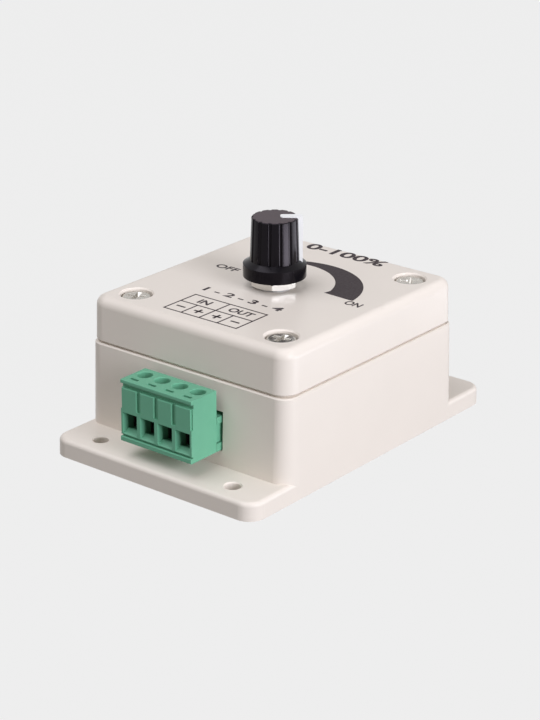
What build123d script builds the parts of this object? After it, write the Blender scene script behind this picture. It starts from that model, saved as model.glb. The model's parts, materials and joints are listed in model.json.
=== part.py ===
from build123d import *

import os
from math import cos, radians, sin, sqrt, tan

os.makedirs("parts", exist_ok=True)

# LED dimmer box: origin under the middle of the base, +Z up, terminals towards -Y, millimetres.

# Case
body_width = 58.3
body_length = 63.8
case_height = 34.6
draft_angle = 1.55
wall = 2.2
floor_thickness = 2.5
roof_thickness = 2.2
body_corner = 4.0
flange_reach = 11.7
flange_thickness = 4.2
flange_corner = 4.0
flange_edge = 1.0
seam_height = 23.85
seam_gap = 0.05
seam_edge = 0.3
lid_inset = 0.05
lid_edge = 2.2
lid_lip_edge = 0.7
tongue_height = 1.8
tongue_width = 0.9
tongue_clearance = 0.15

# Mounting holes in the flanges
mount_hole = 3.6
mount_hole_edge = 0.3
mount_inset = 9.9
mount_offset = 6.1

# Lid screws, their wells, posts and bosses
lid_screw_inset = 8.35
well_diameter = 7.3
well_edge = 0.35
well_wall = 1.15
head_sink = 0.5
head_diameter = 6.9
head_height = 2.2
head_round = 0.7
head_bevel = 0.25
lid_screw_shank = 3.4
lid_screw_length = 16.0
screw_point = 2.0
cross_width = 1.1
cross_span = 4.2
cross_depth = 1.4
post_overlap = 2.2
boss_wall = 1.9
pilot_clearance = 0.04
pilot_spare = 2.0
rib_thickness = 1.5
rib_drop = 3.0

# Circuit board and its screws
board_thickness = 1.6
board_gap = 0.8
board_notch_gap = 0.6
standoff_height = 3.8
standoff_diameter = 6.0
standoff_edge_gap = 1.2
board_screw_shank = 2.0
board_screw_head = 4.0
board_screw_head_height = 1.4
board_screw_length = 5.0
lead_hole_gap = 0.1
lead_tail = 1.4

# Plug-in terminal block
ways = 4
pitch = 5.08
header_offset = 0.45
header_proud = 1.1
header_height = 8.0
header_floor = 1.85
header_roof = 1.55
header_cavity = 8.4
header_back = 2.4
header_window_side = 0.45
header_window_below = 0.2
header_window_above = 1.0
pin_size = 1.0
pin_height = 4.15
pin_inset = 1.8
pin_back_reach = 1.7
plug_depth = 8.3
plug_height = 14.5
plug_drop = 0.0
shoulder_gap = 0.1
nose_length = 8.0
nose_clearance = 0.1
nose_side = 0.4
plug_edge = 0.2
band_height = 0.9
undercut_height = 1.0
undercut_depth = 0.8
panel_groove = 0.95
panel_groove_edge = 0.2
panel_groove_depth = 0.5
panel_groove_length = 4.9
end_notch = 0.3
ledge_height = 1.15
ledge_proud = 0.25
ledge_groove = 0.35
ledge_groove_depth = 0.5
entry_width = 4.15
entry_height = 5.0
entry_sill = 0.35
entry_depth = 1.3
entry_ramp = 0.9
entry_narrowing = 0.3
tunnel_depth = 1.7
screw_setback = 5.2
screw_well = 3.5
screw_well_edge = 0.15
marker_length = 2.4
marker_width = 0.75
marker_depth = 1.3
marker_setback = 1.7

# Rising cage clamps, screws and spring contacts
chamber_width = 4.4
chamber_slack = 0.3
cage_wall = 0.4
cage_plate = 1.3
cage_window = 3.8
cage_width = 4.1
cage_depth = 3.5
cage_travel = 2.5
cage_gap = 0.15
shelf_thickness = 0.6
terminal_screw_shank = 2.5
terminal_screw_head = 3.3
terminal_head_height = 1.65
terminal_slot = 0.6
terminal_slot_depth = 0.9
thread_clearance = 0.05
head_gap = 0.05
contact_width = 2.0
contact_bar = 0.7
contact_drop = 0.25
contact_leaf = 0.4
contact_side_gap = 0.15
contact_grip_gap = 0.1
contact_web = 0.6
contact_short = 1.4

# Potentiometer in the lid
bushing_thread = 7.0
bushing_fit = 0.15
plate_diameter = 16.4
plate_thickness = 1.2
lug_width = 2.4
lug_thickness = 1.0
lug_height = 1.2
lug_radius = 6.6
lug_gap = 0.1
neck_above_nut = 1.0
nut_across_flats = 10.0
nut_thickness = 1.8
nut_edge = 0.35
nut_turn = 3.0
washer_diameter = 8.6
washer_thickness = 0.5
shaft_diameter = 6.0
shaft_fit = 0.03
shaft_slot = 1.0
shaft_slot_depth = 7.0
clip_thickness = 0.5
clip_diameter = 8.6
clip_depth = 0.4
clip_gap = 0.05
clip_mouth = 4.4
wafer_thickness = 1.2
wafer_diameter = 15.2
wafer_tongue = 12.0
wafer_tongue_reach = 10.6
wiper_height = 0.8
wiper_sheet = 0.3
wiper_diameter = 11.6
rotor_diameter = 13.0
rotor_thickness = 2.2
rotor_gap = 0.4
can_wall = 0.4
lug_pitch = 4.0
lug_sheet = 0.5
lug_blade = 1.0
lug_drop = 4.0
lead_diameter = 1.2

# Knob
knob_gap = 0.35
knob_height = 13.85
skirt_diameter = 14.4
skirt_height = 2.9
skirt_slope = 0.9
grip_bottom = 11.3
grip_top = 10.6
grip_edge = 0.25
flutes = 14
flute_radius = 0.45
flute_depth = 0.35
knob_crown = 1.7
knob_recess = 10.8
knob_recess_depth = 1.6
bore_gap = 0.02
pointer_angle = 38.8
pointer_width = 2.1
pointer_start = 1.2
pointer_reach = 6.3
pointer_proud = 0.2
pointer_depth = 0.8
pointer_inset = 0.9
pointer_round = 0.7

# Parts soldered to the board
lead_size = 0.6
mosfet_inset = 11.3
mosfet_y = 5.0
mosfet_width = 10.2
mosfet_body_height = 9.0
mosfet_body_depth = 4.4
mosfet_stand = 3.6
tab_thickness = 1.3
tab_height = 15.6
tab_hole = 3.6
lead_pitch = 2.54
timer_x = 0.0
timer_y = -7.0
timer_length = 9.6
timer_width = 6.4
timer_height = 3.3
timer_stand = 0.6
timer_row = 7.62
timer_per_side = 4
timer_pin_width = 0.9
timer_pin_sheet = 0.5
cap_inset = 10.8
cap_y = 6.0
cap_diameter = 8.0
cap_height = 12.0
cap_edge = 0.6
axial_rise = 1.6
resistor_diameter = 2.4
resistor_length = 6.3
resistor_span = 10.16
resistor_row = 3.6
resistor_count = 3
resistor_inset = 10.8
resistor_gap = 1.0
diode_diameter = 2.7
diode_length = 5.2
diode_inset = 10.8
diode_y = -6.0
disc_diameter = 5.0
disc_thickness = 2.4
disc_rise = 1.0
disc_inset = 12.3
disc_y = -13.5
disc_step = 6.0

# Levels and places worked out from the sizes above
half_width = body_width / 2
half_length = body_length / 2
seam_draft = seam_height * tan(radians(draft_angle))
inner_half_width = half_width - seam_draft - wall
inner_half_length = half_length - seam_draft - wall
roof_under = case_height - roof_thickness
lid_bottom = seam_height + seam_gap
lid_half_width = half_width - seam_draft - lid_inset
lid_half_length = half_length - seam_draft - lid_inset
boss_top = seam_height - post_overlap
lid_screw_x = half_width - lid_screw_inset
lid_screw_y = half_length - lid_screw_inset
head_seat = case_height - head_sink - head_height
screw_tip = head_seat - lid_screw_length
post_diameter = well_diameter + 2 * well_wall
boss_diameter = lid_screw_shank + 2 * boss_wall
mount_x = half_width - mount_inset
mount_y = half_length + mount_offset

board_under = floor_thickness + standoff_height
board_top = board_under + board_thickness
board_half_width = inner_half_width - board_gap
board_half_length = inner_half_length - board_gap
notch_x = lid_screw_x - boss_diameter / 2 - board_notch_gap
notch_y = lid_screw_y - boss_diameter / 2 - board_notch_gap
standoff_x = board_half_width - standoff_diameter / 2 - standoff_edge_gap
standoff_y = notch_y - standoff_diameter / 2 - standoff_edge_gap
lead_end = board_under - lead_tail

plug_width = ways * pitch
plug_left = header_offset - plug_width / 2
header_front = -half_length - header_proud
header_rear = header_front + header_cavity + header_back
header_top = board_top + header_height
cavity_bottom = board_top + header_floor
cavity_top = header_top - header_roof
pin_z = board_top + pin_height
pin_tip = header_front + pin_inset
pin_back = header_rear + pin_back_reach
plug_rear = header_front - shoulder_gap
plug_front = plug_rear - plug_depth
plug_bottom = board_top - plug_drop
plug_top = plug_bottom + plug_height
nose_bottom = cavity_bottom + nose_clearance
nose_top = cavity_top - nose_clearance
nose_end = plug_rear + nose_length
band_bottom = plug_top - band_height
panel_top = band_bottom - undercut_height
ledge_top = plug_bottom + ledge_height
groove_top = ledge_top + ledge_groove
entry_bottom = groove_top + entry_sill
entry_top = entry_bottom + entry_height
sill_inside = entry_bottom + entry_ramp
screw_y = plug_front + screw_setback
throat = plug_front + entry_depth
chamber_front = plug_front + tunnel_depth
chamber_rear = screw_y + cage_depth / 2 + cage_gap
cage_bottom = sill_inside - cage_wall
cage_height = cage_wall + cage_window + cage_plate
window_top = cage_bottom + cage_wall + cage_window
chamber_bottom = cage_bottom - chamber_slack
chamber_top = cage_bottom + cage_height + cage_travel + cage_gap
shelf_top = chamber_top + shelf_thickness
head_bottom = shelf_top + head_gap
bar_top = window_top - contact_drop
bar_bottom = bar_top - contact_bar
fork_bottom = pin_z - pin_size / 2 - contact_grip_gap - contact_leaf
fork_top = pin_z + pin_size / 2 + contact_grip_gap + contact_leaf
web_rear = chamber_rear + contact_web

nut_bottom = case_height + washer_thickness
nut_top = nut_bottom + nut_thickness
neck_top = nut_top + neck_above_nut
plate_bottom = roof_under - plate_thickness
wafer_bottom = plate_bottom - wafer_thickness
rotor_top = wafer_bottom - wiper_height
rotor_bottom = rotor_top - rotor_thickness
can_bottom = rotor_bottom - rotor_gap - can_wall
can_diameter = plate_diameter
clip_bottom = neck_top + clip_gap
lug_outer = wafer_tongue_reach + lug_sheet
lug_tip = wafer_bottom - lug_drop

knob_bottom = nut_top + knob_gap
knob_top = knob_bottom + knob_height
skirt_top = knob_bottom + skirt_height
grip_start = skirt_top + skirt_slope
shaft_top = knob_top - knob_crown

lid_screw_points = [(x, y) for x in (-lid_screw_x, lid_screw_x) for y in (-lid_screw_y, lid_screw_y)]
standoff_points = [(x, y) for x in (-standoff_x, standoff_x) for y in (-standoff_y, standoff_y)]
mount_points = [(x, y) for x in (-mount_x, mount_x) for y in (-mount_y, mount_y)]
cells = [header_offset + (way - (ways - 1) / 2) * pitch for way in range(ways)]
mosfet_x = mosfet_inset - board_half_width
cap_x = board_half_width - cap_inset
resistor_x = board_half_width - resistor_inset
diode_x = diode_inset - board_half_width
disc_x = disc_inset - board_half_width
resistor_y = standoff_diameter / 2 - standoff_y + resistor_gap + resistor_diameter / 2
resistor_rows = [resistor_y + row * resistor_row for row in range(resistor_count)]
disc_places = [disc_x, disc_x + disc_step]


# Base: tray, flanges, bosses, standoffs and the header's window
with BuildPart() as base_shell:
    with BuildSketch():
        RectangleRounded(body_width, body_length + 2 * flange_reach, flange_corner)
    extrude(amount=flange_thickness, taper=draft_angle)
    fillet(base_shell.faces().sort_by(Axis.Z)[-1].edges(), flange_edge)
    with BuildSketch():
        RectangleRounded(body_width, body_length, body_corner)
    extrude(amount=seam_height, taper=draft_angle)
    chamfer(base_shell.faces().sort_by(Axis.Z)[-1].edges(), seam_edge)
    with BuildSketch(Plane.XY.offset(floor_thickness)):
        RectangleRounded(2 * inner_half_width, 2 * inner_half_length, body_corner - wall)
    extrude(amount=seam_height - floor_thickness, mode=Mode.SUBTRACT)
    with BuildSketch(Plane.XY.offset(seam_height - tongue_height)):
        RectangleRounded(2 * (inner_half_width + tongue_width), 2 * (inner_half_length + tongue_width),
                         body_corner - wall + tongue_width)
        RectangleRounded(2 * inner_half_width, 2 * inner_half_length, body_corner - wall, mode=Mode.SUBTRACT)
    extrude(amount=2 * tongue_height)
    with BuildSketch(Plane.XY.offset(floor_thickness)):
        with Locations(*lid_screw_points):
            Circle(boss_diameter / 2)
    extrude(amount=boss_top - floor_thickness)
    with BuildSketch(Plane.XY.offset(floor_thickness)):
        for side in (-1, 1):
            rib_length = inner_half_width - lid_screw_x
            with Locations(*[(side * (lid_screw_x + rib_length / 2), y) for y in (-lid_screw_y, lid_screw_y)]):
                Rectangle(rib_length, rib_thickness)
            rib_length = inner_half_length - lid_screw_y
            with Locations(*[(x, side * (lid_screw_y + rib_length / 2)) for x in (-lid_screw_x, lid_screw_x)]):
                Rectangle(rib_thickness, rib_length)
    extrude(amount=boss_top - floor_thickness - rib_drop)
    with BuildSketch(Plane.XY.offset(screw_tip - pilot_spare)):
        with Locations(*lid_screw_points):
            Circle(lid_screw_shank / 2 + pilot_clearance)
    extrude(amount=boss_top - screw_tip + pilot_spare, mode=Mode.SUBTRACT)
    with BuildSketch(Plane.XY.offset(floor_thickness)):
        with Locations(*standoff_points):
            Circle(standoff_diameter / 2)
    extrude(amount=standoff_height)
    with BuildSketch(Plane.XY.offset(board_under - standoff_height)):
        with Locations(*standoff_points):
            Circle(board_screw_shank / 2 + pilot_clearance)
    extrude(amount=standoff_height, mode=Mode.SUBTRACT)
    with BuildSketch(Plane.XZ.offset(half_length)):
        window_height = header_window_below + header_height + header_window_above
        with Locations((header_offset, board_top - header_window_below + window_height / 2)):
            Rectangle(plug_width + 2 * header_window_side, window_height)
    extrude(amount=-(half_length - inner_half_length), mode=Mode.SUBTRACT)
    with BuildSketch():
        with Locations(*mount_points):
            Circle(mount_hole / 2)
    extrude(amount=flange_thickness, mode=Mode.SUBTRACT)
    mount_rims = base_shell.edges().filter_by(GeomType.CIRCLE).filter_by_position(
        Axis.Z, flange_thickness, flange_thickness)
    mount_rims = [edge for edge in mount_rims if abs(edge.radius - mount_hole / 2) < mount_hole_edge]
    chamfer(mount_rims, mount_hole_edge)
base_shell.part.label = "base_shell"
export_step(base_shell.part, "parts/base_shell.step")

# Lid: cap over the base's tongue, with a screw well on a post at each corner
with BuildPart() as lid:
    with BuildSketch(Plane.XY.offset(lid_bottom)):
        RectangleRounded(2 * lid_half_width, 2 * lid_half_length, body_corner - lid_inset)
    extrude(amount=case_height - lid_bottom, taper=draft_angle)
    fillet(lid.faces().sort_by(Axis.Z)[-1].edges(), lid_edge)
    chamfer(lid.faces().sort_by(Axis.Z)[0].edges(), lid_lip_edge)
    with BuildSketch(Plane.XY.offset(lid_bottom)):
        RectangleRounded(2 * inner_half_width, 2 * inner_half_length, body_corner - wall)
    extrude(amount=roof_under - lid_bottom, mode=Mode.SUBTRACT)
    with BuildSketch(Plane.XY.offset(lid_bottom)):
        rebate = tongue_width + tongue_clearance
        RectangleRounded(2 * (inner_half_width + rebate), 2 * (inner_half_length + rebate),
                         body_corner - wall + rebate)
    extrude(amount=tongue_height - seam_gap + tongue_clearance, mode=Mode.SUBTRACT)
    with BuildSketch(Plane.XY.offset(boss_top)):
        with Locations(*lid_screw_points):
            Circle(post_diameter / 2)
    extrude(amount=roof_under - boss_top)
    with BuildSketch(Plane.XY.offset(head_seat)):
        with Locations(*lid_screw_points):
            Circle(well_diameter / 2)
    extrude(amount=case_height - head_seat, mode=Mode.SUBTRACT)
    with BuildSketch(Plane.XY.offset(boss_top)):
        with Locations(*lid_screw_points):
            Circle(lid_screw_shank / 2 + tongue_clearance)
    extrude(amount=head_seat - boss_top, mode=Mode.SUBTRACT)
    with BuildSketch(Plane.XY.offset(roof_under)):
        Circle(bushing_thread / 2 + bushing_fit)
    extrude(amount=roof_thickness, mode=Mode.SUBTRACT)
    with BuildSketch(Plane.XY.offset(roof_under)):
        with Locations((0, -lug_radius)):
            Rectangle(lug_width + 2 * lug_gap, lug_thickness + 2 * lug_gap)
    extrude(amount=lug_height + lug_gap, mode=Mode.SUBTRACT)
    well_rims = lid.edges().filter_by(GeomType.CIRCLE).filter_by_position(Axis.Z, case_height, case_height)
    chamfer([edge for edge in well_rims if abs(edge.radius - well_diameter / 2) < well_edge / 2], well_edge)
lid.part.label = "lid"
export_step(lid.part, "parts/lid.step")

# One lid screw: pan head with a cross recess, shank and point
with BuildPart() as lid_screw:
    with BuildSketch(Plane.XZ):
        with BuildLine():
            Polyline(
                (0, screw_tip),
                (lid_screw_shank / 2, screw_tip + screw_point),
                (lid_screw_shank / 2, head_seat),
                (head_diameter / 2, head_seat),
                (head_diameter / 2, head_seat + head_height - head_round),
                (head_diameter / 2 - head_bevel, head_seat + head_height - head_bevel),
                (head_diameter / 2 - head_round, head_seat + head_height),
                (0, head_seat + head_height),
                close=True,
            )
        make_face()
    revolve(axis=Axis.Z)
    with BuildSketch(Plane.XY.offset(head_seat + head_height - cross_depth)):
        Rectangle(cross_span, cross_width)
        Rectangle(cross_width, cross_span)
    extrude(amount=cross_depth, mode=Mode.SUBTRACT)
with BuildPart() as lid_screws:
    with Locations(*lid_screw_points):
        add(lid_screw.part)
lid_screws.part.label = "lid_screws"
export_step(lid_screws.part, "parts/lid_screws.step")

# Header pins: bent from square wire, through the header's back and the board
with BuildPart() as header_pins:
    for cell in cells:
        with BuildSketch(Plane.YZ.offset(cell - pin_size / 2)):
            with BuildLine():
                Polyline(
                    (pin_tip, pin_z - pin_size / 2),
                    (pin_back - pin_size, pin_z - pin_size / 2),
                    (pin_back - pin_size, lead_end),
                    (pin_back, lead_end),
                    (pin_back, pin_z + pin_size / 2),
                    (pin_tip, pin_z + pin_size / 2),
                    close=True,
                )
            make_face()
        extrude(amount=pin_size)
header_pins.part.label = "header_pins"
export_step(header_pins.part, "parts/header_pins.step")

# Header housing: a channel with open ends and a back wall that holds the pins
with BuildPart() as header_housing:
    with BuildSketch(Plane.YZ.offset(plug_left)):
        with BuildLine():
            Polyline(
                (header_front, board_top),
                (header_rear, board_top),
                (header_rear, header_top),
                (header_front, header_top),
                (header_front, cavity_top),
                (header_front + header_cavity, cavity_top),
                (header_front + header_cavity, cavity_bottom),
                (header_front, cavity_bottom),
                close=True,
            )
        make_face()
    extrude(amount=plug_width)
    add(header_pins.part, mode=Mode.SUBTRACT)
header_housing.part.label = "header_housing"
export_step(header_housing.part, "parts/header_housing.step")

# Plug housing: one moulding, its side outline run across all the ways and then opened cell by cell
with BuildPart() as plug_housing:
    with BuildSketch(Plane.YZ.offset(plug_left)) as plug_profile:
        with BuildLine():
            Polyline(
                (plug_front - ledge_proud, plug_bottom),
                (plug_rear, plug_bottom),
                (plug_rear, plug_top),
                (plug_front, plug_top),
                (plug_front, band_bottom),
                (plug_front + undercut_depth, band_bottom),
                (plug_front + undercut_depth, panel_top),
                (plug_front, panel_top),
                (plug_front, groove_top),
                (plug_front + ledge_groove_depth, groove_top),
                (plug_front + ledge_groove_depth, ledge_top),
                (plug_front - ledge_proud, ledge_top),
                close=True,
            )
        make_face()
        front_corners = plug_profile.vertices().filter_by_position(Axis.X, plug_front - ledge_proud, plug_front)
        rear_corner = plug_profile.vertices().sort_by_distance((plug_rear, plug_top))[:1]
        fillet(front_corners + rear_corner, plug_edge)
    extrude(amount=plug_width)
    with BuildSketch(Plane.XZ.offset(-plug_rear)):
        with Locations((header_offset, (nose_bottom + nose_top) / 2)):
            Rectangle(plug_width - 2 * nose_side, nose_top - nose_bottom)
    extrude(amount=-nose_length)
    with BuildSketch(Plane.XY.offset(panel_top - panel_groove_length)):
        with Locations(*[(plug_left + edge * pitch, plug_front) for edge in range(1, ways)]):
            Polygon(
                (-panel_groove / 2 - panel_groove_edge, 0),
                (-panel_groove / 2, panel_groove_edge),
                (-panel_groove / 2, panel_groove_depth),
                (panel_groove / 2, panel_groove_depth),
                (panel_groove / 2, panel_groove_edge),
                (panel_groove / 2 + panel_groove_edge, 0),
                align=None,
            )
        with Locations((plug_left, plug_front), (plug_left + plug_width, plug_front)):
            Rectangle(2 * end_notch, 2 * panel_groove_depth)
    extrude(amount=panel_groove_length, mode=Mode.SUBTRACT)
    for cell in cells:
        with BuildSketch(Plane.XZ.offset(-plug_front)):
            with Locations((cell, (entry_bottom + entry_top) / 2)):
                Rectangle(entry_width, entry_height)
        with BuildSketch(Plane.XZ.offset(-throat)):
            with Locations((cell, (sill_inside + entry_top) / 2)):
                Rectangle(entry_width - 2 * entry_narrowing, entry_top - sill_inside)
        loft(mode=Mode.SUBTRACT)
        with BuildSketch(Plane.XZ.offset(-throat)):
            with Locations((cell, (sill_inside + entry_top) / 2)):
                Rectangle(entry_width - 2 * entry_narrowing, entry_top - sill_inside)
        extrude(amount=-(chamber_front - throat), mode=Mode.SUBTRACT)
    with BuildSketch(Plane.XY.offset(chamber_bottom)):
        with Locations(*[(cell, (chamber_front + chamber_rear) / 2) for cell in cells]):
            Rectangle(chamber_width, chamber_rear - chamber_front)
    extrude(amount=chamber_top - chamber_bottom, mode=Mode.SUBTRACT)
    with BuildSketch(Plane.XY.offset(chamber_top)):
        with Locations(*[(cell, screw_y) for cell in cells]):
            Circle(terminal_screw_shank / 2 + thread_clearance)
    extrude(amount=shelf_thickness, mode=Mode.SUBTRACT)
    with BuildSketch(Plane.XY.offset(shelf_top)):
        with Locations(*[(cell, screw_y) for cell in cells]):
            Circle(screw_well / 2)
    extrude(amount=plug_top - shelf_top, mode=Mode.SUBTRACT)
    guide_rims = plug_housing.edges().filter_by(GeomType.CIRCLE).filter_by_position(Axis.Z, plug_top, plug_top)
    chamfer(guide_rims, screw_well_edge)
    with BuildSketch(Plane.XY.offset(plug_top - marker_depth)):
        with Locations(*[(cell, plug_front + marker_setback) for cell in cells]):
            Rectangle(marker_length, marker_width)
    extrude(amount=marker_depth, mode=Mode.SUBTRACT)
    with BuildSketch(Plane.XZ.offset(-chamber_rear)):
        with Locations(*[(cell, (fork_bottom + bar_top) / 2) for cell in cells]):
            Rectangle(contact_width + 2 * contact_side_gap, bar_top - fork_bottom)
    extrude(amount=-contact_web, mode=Mode.SUBTRACT)
    with BuildSketch(Plane.XZ.offset(-web_rear)):
        with Locations(*[(cell, pin_z) for cell in cells]):
            Rectangle(contact_width + 2 * contact_side_gap, fork_top - fork_bottom)
    extrude(amount=-(nose_end - web_rear), mode=Mode.SUBTRACT)
plug_housing.part.label = "plug_housing"
export_step(plug_housing.part, "parts/plug_housing.step")

# Plug contacts: a clamping bar inside each cage, and a two-leaf fork round the header's pin
with BuildPart() as plug_contacts:
    for cell in cells:
        with BuildSketch(Plane.YZ.offset(cell - contact_width / 2)):
            with BuildLine():
                Polyline(
                    (screw_y - cage_depth / 2, bar_bottom),
                    (chamber_rear, bar_bottom),
                    (chamber_rear, fork_bottom),
                    (nose_end - contact_short, fork_bottom),
                    (nose_end - contact_short, fork_bottom + contact_leaf),
                    (web_rear, fork_bottom + contact_leaf),
                    (web_rear, fork_top - contact_leaf),
                    (nose_end - contact_short, fork_top - contact_leaf),
                    (nose_end - contact_short, fork_top),
                    (web_rear, fork_top),
                    (web_rear, bar_top),
                    (screw_y - cage_depth / 2, bar_top),
                    close=True,
                )
            make_face()
        extrude(amount=contact_width)
plug_contacts.part.label = "plug_contacts"
export_step(plug_contacts.part, "parts/plug_contacts.step")

# Clamp cages: folded square cages, tapped in their top plate
for way, cell in enumerate(cells, start=1):
    with BuildPart() as clamp_cage:
        with BuildSketch(Plane.XZ.offset(-screw_y)):
            with Locations((cell, cage_bottom + cage_height / 2)):
                Rectangle(cage_width, cage_height)
            with Locations((cell, cage_bottom + cage_wall + cage_window / 2)):
                Rectangle(cage_width - 2 * cage_wall, cage_window, mode=Mode.SUBTRACT)
        extrude(amount=cage_depth / 2, both=True)
        with BuildSketch(Plane.XY.offset(window_top)):
            with Locations((cell, screw_y)):
                Circle(terminal_screw_shank / 2 + thread_clearance)
        extrude(amount=cage_plate, mode=Mode.SUBTRACT)
    clamp_cage.part.label = f"clamp_cage_{way}"
    export_step(clamp_cage.part, f"parts/clamp_cage_{way}.step")

# Terminal screws: captive, slotted cheese head
for way, cell in enumerate(cells, start=1):
    with BuildPart() as terminal_screw:
        with BuildSketch(Plane.XY.offset(head_bottom)):
            with Locations((cell, screw_y)):
                Circle(terminal_screw_head / 2)
        extrude(amount=terminal_head_height)
        with BuildSketch(Plane.XY.offset(head_bottom)):
            with Locations((cell, screw_y)):
                Circle(terminal_screw_shank / 2)
        extrude(amount=-(head_bottom - window_top - thread_clearance))
        with BuildSketch(Plane.XY.offset(head_bottom + terminal_head_height - terminal_slot_depth)):
            with Locations((cell, screw_y)):
                Rectangle(terminal_screw_head, terminal_slot)
        extrude(amount=terminal_slot_depth, mode=Mode.SUBTRACT)
    terminal_screw.part.label = f"terminal_screw_{way}"
    export_step(terminal_screw.part, f"parts/terminal_screw_{way}.step")

# Potentiometer front: die-cast plate with a threaded neck and a lug that stops it turning in the lid
with BuildPart() as pot_bushing:
    with BuildSketch(Plane.XY.offset(plate_bottom)):
        Circle(plate_diameter / 2)
    extrude(amount=plate_thickness)
    with BuildSketch(Plane.XY.offset(roof_under)):
        Circle(bushing_thread / 2)
    extrude(amount=neck_top - roof_under)
    with BuildSketch(Plane.XY.offset(roof_under)):
        with Locations((0, -lug_radius)):
            Rectangle(lug_width, lug_thickness)
    extrude(amount=lug_height)
    with BuildSketch(Plane.XY.offset(plate_bottom)):
        Circle(shaft_diameter / 2 + shaft_fit)
    extrude(amount=neck_top - plate_bottom, mode=Mode.SUBTRACT)
pot_bushing.part.label = "pot_bushing"
export_step(pot_bushing.part, "parts/pot_bushing.step")

# Washer and hexagon nut that hold the potentiometer to the lid
with BuildPart() as pot_washer:
    with BuildSketch(Plane.XY.offset(case_height)):
        Circle(washer_diameter / 2)
        Circle(bushing_thread / 2 + thread_clearance, mode=Mode.SUBTRACT)
    extrude(amount=washer_thickness)
pot_washer.part.label = "pot_washer"
export_step(pot_washer.part, "parts/pot_washer.step")

with BuildPart() as pot_nut:
    with BuildSketch(Plane.XY.offset(nut_bottom)):
        RegularPolygon(nut_across_flats / 2, 6, major_radius=False, rotation=nut_turn)
    extrude(amount=nut_thickness)
    with BuildSketch(Plane.XZ):
        nut_corner = nut_across_flats / sqrt(3)
        with BuildLine():
            Polyline(
                (nut_corner - 2 * nut_edge, nut_top),
                (nut_corner, nut_top - nut_edge),
                (nut_corner, nut_top),
                close=True,
            )
        make_face()
        with BuildLine():
            Polyline(
                (nut_corner - 2 * nut_edge, nut_bottom),
                (nut_corner, nut_bottom + nut_edge),
                (nut_corner, nut_bottom),
                close=True,
            )
        make_face()
    revolve(axis=Axis.Z, mode=Mode.SUBTRACT)
    with BuildSketch(Plane.XY.offset(nut_bottom)):
        Circle(bushing_thread / 2 + thread_clearance)
    extrude(amount=nut_thickness, mode=Mode.SUBTRACT)
pot_nut.part.label = "pot_nut"
export_step(pot_nut.part, "parts/pot_nut.step")

# Track board of the potentiometer, with a tongue for its lugs
with BuildPart() as pot_wafer:
    with BuildSketch(Plane.XY.offset(wafer_bottom)):
        Circle(wafer_diameter / 2)
        with Locations((0, wafer_tongue_reach / 2)):
            Rectangle(wafer_tongue, wafer_tongue_reach)
        Circle(shaft_diameter / 2 + 2 * bushing_fit, mode=Mode.SUBTRACT)
    extrude(amount=wafer_thickness)
pot_wafer.part.label = "pot_wafer"
export_step(pot_wafer.part, "parts/pot_wafer.step")

# Its three lugs: bent over the tongue's end and down
lug_places = [-lug_pitch, 0, lug_pitch]
with BuildPart() as pot_terminals:
    for place in lug_places:
        with BuildSketch(Plane.YZ.offset(place - lug_blade / 2)):
            with BuildLine():
                Polyline(
                    (can_diameter / 2 + lug_sheet, wafer_bottom),
                    (can_diameter / 2 + lug_sheet, wafer_bottom - lug_sheet),
                    (wafer_tongue_reach, wafer_bottom - lug_sheet),
                    (wafer_tongue_reach, lug_tip),
                    (lug_outer, lug_tip),
                    (lug_outer, wafer_bottom),
                    close=True,
                )
            make_face()
        extrude(amount=lug_blade)
pot_terminals.part.label = "pot_terminals"
export_step(pot_terminals.part, "parts/pot_terminals.step")

# Metal rear cover, with a mouth for the wafer's tongue
with BuildPart() as pot_can:
    with BuildSketch(Plane.XY.offset(can_bottom)):
        Circle(can_diameter / 2)
    extrude(amount=plate_bottom - can_bottom)
    with BuildSketch(Plane.XY.offset(can_bottom + can_wall)):
        Circle(can_diameter / 2 - can_wall)
    extrude(amount=plate_bottom - can_bottom, mode=Mode.SUBTRACT)
    with BuildSketch(Plane.XY.offset(wafer_bottom - lug_sheet)):
        with Locations((0, can_diameter / 4)):
            Rectangle(wafer_tongue + 2 * lug_gap, can_diameter / 2)
    extrude(amount=plate_bottom - wafer_bottom + lug_sheet, mode=Mode.SUBTRACT)
pot_can.part.label = "pot_can"
export_step(pot_can.part, "parts/pot_can.step")

# Shaft: grooved for its clip and split at the end
with BuildPart() as pot_shaft:
    with BuildSketch(Plane.XY.offset(rotor_bottom)):
        Circle(shaft_diameter / 2)
    extrude(amount=shaft_top - rotor_bottom)
    with BuildSketch(Plane.XY.offset(clip_bottom)):
        Circle(shaft_diameter / 2)
        Circle(shaft_diameter / 2 - clip_depth, mode=Mode.SUBTRACT)
    extrude(amount=clip_thickness, mode=Mode.SUBTRACT)
    with BuildSketch(Plane.XY.offset(shaft_top - shaft_slot_depth)):
        Rectangle(shaft_diameter, shaft_slot, rotation=pointer_angle)
    extrude(amount=shaft_slot_depth, mode=Mode.SUBTRACT)
pot_shaft.part.label = "pot_shaft"
export_step(pot_shaft.part, "parts/pot_shaft.step")

# Clip: an open ring in the shaft's groove, above the neck
with BuildPart() as shaft_clip:
    with BuildSketch(Plane.XY.offset(clip_bottom)):
        Circle(clip_diameter / 2)
        Circle(shaft_diameter / 2 - clip_depth, mode=Mode.SUBTRACT)
        with Locations((clip_diameter / 2, 0)):
            Rectangle(clip_diameter, clip_mouth, mode=Mode.SUBTRACT)
    extrude(amount=clip_thickness)
shaft_clip.part.label = "shaft_clip"
export_step(shaft_clip.part, "parts/shaft_clip.step")

# Rotor on the shaft's lower end, and the sprung wiper on it
with BuildPart() as pot_rotor:
    with BuildSketch(Plane.XY.offset(rotor_bottom)):
        Circle(rotor_diameter / 2)
        Circle(shaft_diameter / 2, mode=Mode.SUBTRACT)
    extrude(amount=rotor_thickness)
pot_rotor.part.label = "pot_rotor"
export_step(pot_rotor.part, "parts/pot_rotor.step")

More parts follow.
